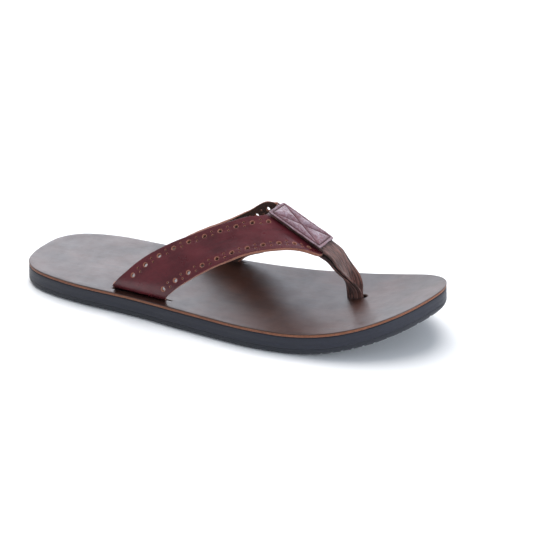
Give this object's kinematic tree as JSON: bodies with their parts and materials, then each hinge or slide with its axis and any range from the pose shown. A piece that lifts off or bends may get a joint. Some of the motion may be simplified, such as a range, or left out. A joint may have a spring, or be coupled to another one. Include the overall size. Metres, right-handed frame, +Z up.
{
  "type": "flip flop",
  "caption": "Leather thong sandal: treaded rubber sole under a glossy leather footbed, with perforated strap arms that meet under a stitched patch and a folded leather toe post.",
  "frame": {"origin": "middle of the bounding box in plan, on the ground that the sole rests on", "axes": "+X from heel to toe, +Y to the big-toe (medial) side, +Z up"},
  "size_m": [0.2864, 0.1072, 0.0645],
  "materials": {
    "outsole_rubber": "black moulded rubber with a ripple tread, matte",
    "midsole_foam": "charcoal foam, smooth matte side wall",
    "footbed_leather": "dark brown glossy leather with a raw tan cut edge",
    "strap_leather": "oxblood polished leather with punched holes and raw tan edges",
    "patch_leather": "oxblood waxed leather, creased, with a whitish sheen",
    "post_leather": "reddish-brown leather, rough flesh side out",
    "thread": "oxblood waxed polyester thread",
    "leatherboard": "pressed leatherboard, raw",
    "steel": "bright steel wire and tacks"
  },
  "bodies": {
    "root": {"outsole": "outsole_rubber", "midsole": "midsole_foam", "footbed": "footbed_leather", "lateral_strap": "strap_leather", "lateral_strap_tack_1": "steel", "lateral_strap_tack_2": "steel", "lateral_strap_tack_3": "steel", "medial_strap": "strap_leather", "medial_strap_tack_1": "steel", "medial_strap_tack_2": "steel", "medial_strap_tack_3": "steel", "vamp_patch": "patch_leather", "toe_post_front_ply": "post_leather", "toe_post_back_ply": "post_leather", "patch_top_thread": "thread", "patch_bobbin_thread": "thread", "toe_post_anchor_disc": "leatherboard", "toe_post_pin": "steel"}
  },
  "joints": []
}
